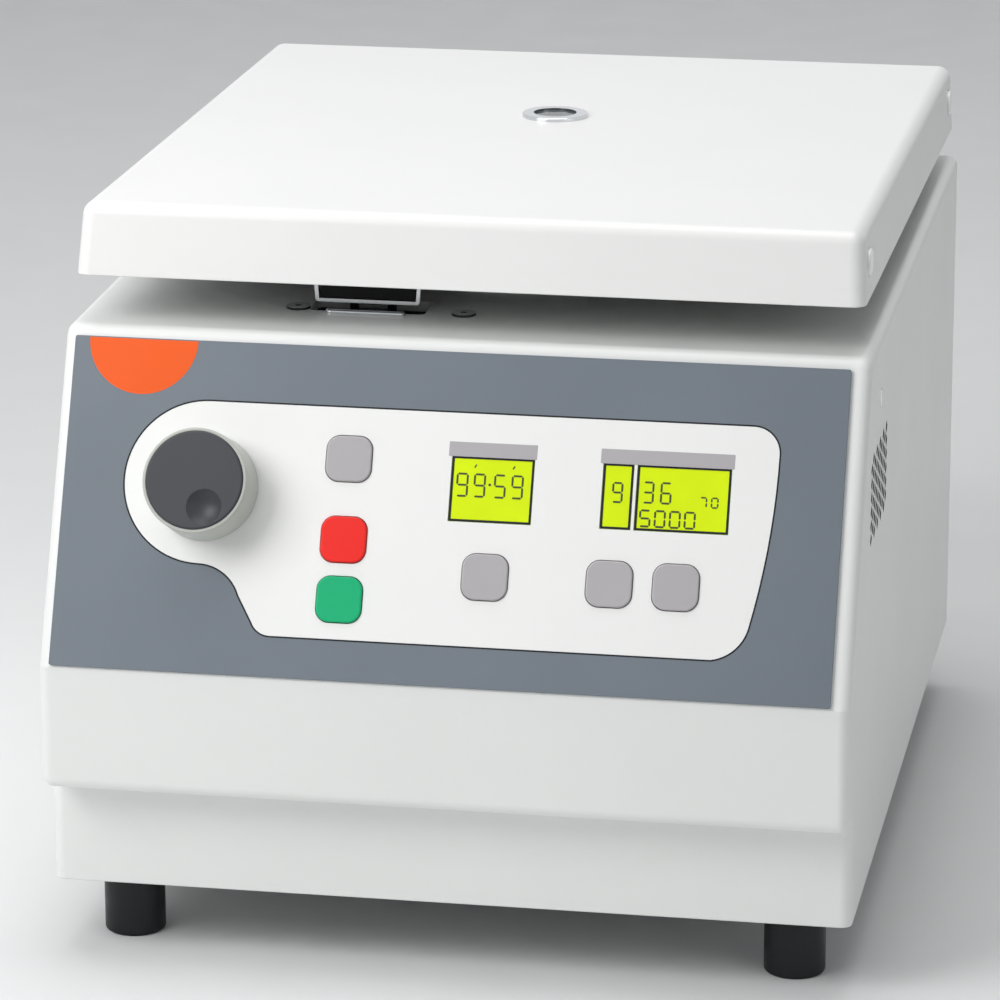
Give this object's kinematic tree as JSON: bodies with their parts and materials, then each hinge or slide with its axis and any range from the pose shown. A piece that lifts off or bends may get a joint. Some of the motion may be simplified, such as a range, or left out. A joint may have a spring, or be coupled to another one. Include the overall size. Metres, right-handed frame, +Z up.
{
  "type": "cytocentrifuge",
  "caption": "Bench cytocentrifuge with a hinged latching lid ajar, a sloping control panel and a rotor that carries slide clips with sample funnels.",
  "frame": {"origin": "middle of the bounding box's base, on the table under the feet", "axes": "+X to the right seen from the front, +Y to the rear with the control panel facing -Y, +Z up"},
  "size_m": [0.28, 0.366, 0.2593],
  "materials": {
    "case_white": "satin",
    "white_sheet": "satin",
    "grey_sheet": "satin",
    "dark_rubber": "matte",
    "black_rubber": "matte",
    "screw_steel": "polished",
    "panel_grey": "satin",
    "plate_white": "satin",
    "display_yellow": "satin",
    "button_grey": "satin",
    "button_red": "satin",
    "button_green": "satin",
    "board_green": "satin",
    "knob_white": "satin",
    "knob_dark": "satin",
    "black_plastic": "matte",
    "chamber_steel": "brushed",
    "guard_steel": "brushed",
    "motor_black": "satin",
    "rotor_aluminium": "satin",
    "clip_steel": "satin",
    "latch_steel": "satin",
    "bright_chrome": "polished",
    "chamber_plastic": "gloss",
    "slide_glass": "polished",
    "window_clear": "polished",
    "plug_white": "matte"
  },
  "bodies": {
    "base": {"housing": "case_white", "base_plate": "grey_sheet", "rear_panel": "white_sheet", "feet": "dark_rubber", "case_screws": "screw_steel", "control_overlay": "panel_grey", "display_plate": "plate_white", "display_time": "display_yellow", "display_speed": "display_yellow", "control_board": "board_green", "encoder_body": "black_plastic", "chamber_bowl": "chamber_steel", "guard_ring": "guard_steel", "chamber_gasket": "black_rubber", "motor_housing": "motor_black", "motor_mounts": "black_rubber", "hinge_brackets": "grey_sheet", "hinge_pins": "screw_steel", "deck_lip": "bright_chrome", "latch_actuator": "black_plastic", "vent_screen": "guard_steel", "release_plug": "plug_white", "power_inlet": "black_plastic", "fan_frame": "black_plastic", "power_board": "board_green"},
    "lid": {"lid_shell": "case_white", "lid_liner": "grey_sheet", "port_ring": "bright_chrome", "port_window": "window_clear", "lid_plugs": "plug_white", "hinge_arms": "grey_sheet", "latch_frame": "bright_chrome", "latch_block": "black_plastic"},
    "rotor": {"motor_shaft": "screw_steel", "rotor_head": "rotor_aluminium", "rotor_nut": "rotor_aluminium"},
    "knob": {"knob_skirt": "knob_white", "knob_cap": "knob_dark", "encoder_shaft": "screw_steel"},
    "lid_button": {"button_lid": "button_grey"},
    "stop_button": {"button_stop": "button_red"},
    "start_button": {"button_start": "button_green"},
    "time_button": {"button_time": "button_grey"},
    "program_button": {"button_program": "button_grey"},
    "select_button": {"button_select": "button_grey"},
    "bolt": {"latch_bolt": "latch_steel"},
    "rocker": {"power_rocker": "black_plastic"},
    "fan": {"fan_rotor": "black_plastic"},
    "clip_1": {"slide_clip_1": "clip_steel", "sample_chamber_1": "chamber_plastic", "glass_slide_1": "slide_glass"},
    "clip_2": {"slide_clip_2": "clip_steel", "sample_chamber_2": "chamber_plastic", "glass_slide_2": "slide_glass"},
    "clip_3": {"slide_clip_3": "clip_steel", "sample_chamber_3": "chamber_plastic", "glass_slide_3": "slide_glass"},
    "clip_4": {"slide_clip_4": "clip_steel", "sample_chamber_4": "chamber_plastic", "glass_slide_4": "slide_glass"}
  },
  "joints": [
    {"name": "lid_hinge", "type": "hinge", "parent": "base", "child": "lid", "pos_m": [0, 0.1718, 0.24], "axis": [-1, 0, 0], "range_deg": [-1.38, 70]},
    {"name": "rotor_spin", "type": "hinge", "parent": "base", "child": "rotor", "pos_m": [0, 0.0488, 0.13], "axis": [0, 0, 1], "continuous": true},
    {"name": "clip_1_swing", "type": "hinge", "parent": "rotor", "child": "clip_1", "pos_m": [0.06223, 0.11102, 0.148], "axis": [-0.7071, 0.7071, 0], "range_deg": [0, 15]},
    {"name": "clip_2_swing", "type": "hinge", "parent": "rotor", "child": "clip_2", "pos_m": [-0.06223, 0.11102, 0.148], "axis": [-0.7071, -0.7071, 0], "range_deg": [0, 15]},
    {"name": "clip_3_swing", "type": "hinge", "parent": "rotor", "child": "clip_3", "pos_m": [-0.06223, -0.01342, 0.148], "axis": [0.7071, -0.7071, 0], "range_deg": [0, 15]},
    {"name": "clip_4_swing", "type": "hinge", "parent": "rotor", "child": "clip_4", "pos_m": [0.06223, -0.01342, 0.148], "axis": [0.7071, 0.7071, 0], "range_deg": [0, 15]},
    {"name": "knob_turn", "type": "hinge", "parent": "base", "child": "knob", "pos_m": [-0.0858, -0.15513, 0.16823], "axis": [0, -0.9082, 0.4185], "continuous": true},
    {"name": "lid_press", "type": "slide", "parent": "base", "child": "lid_button", "axis": [0, 0.9082, -0.4185], "range_m": [0, 0.001], "stiffness_N_per_m": 800},
    {"name": "stop_press", "type": "slide", "parent": "base", "child": "stop_button", "axis": [0, 0.9082, -0.4185], "range_m": [0, 0.001], "stiffness_N_per_m": 800},
    {"name": "start_press", "type": "slide", "parent": "base", "child": "start_button", "axis": [0, 0.9082, -0.4185], "range_m": [0, 0.001], "stiffness_N_per_m": 800},
    {"name": "time_press", "type": "slide", "parent": "base", "child": "time_button", "axis": [0, 0.9082, -0.4185], "range_m": [0, 0.001], "stiffness_N_per_m": 800},
    {"name": "program_press", "type": "slide", "parent": "base", "child": "program_button", "axis": [0, 0.9082, -0.4185], "range_m": [0, 0.001], "stiffness_N_per_m": 800},
    {"name": "select_press", "type": "slide", "parent": "base", "child": "select_button", "axis": [0, 0.9082, -0.4185], "range_m": [0, 0.001], "stiffness_N_per_m": 800},
    {"name": "bolt_slide", "type": "slide", "parent": "base", "child": "bolt", "axis": [0, -1, 0], "range_m": [0, 0.006], "stiffness_N_per_m": 150},
    {"name": "rocker_tilt", "type": "hinge", "parent": "base", "child": "rocker", "pos_m": [-0.108, 0.1698, 0.062], "axis": [1, 0, 0], "range_deg": [0, 16]},
    {"name": "fan_spin", "type": "hinge", "parent": "base", "child": "fan", "pos_m": [0.096, 0.1613, 0.092], "axis": [0, 1, 0], "continuous": true}
  ]
}
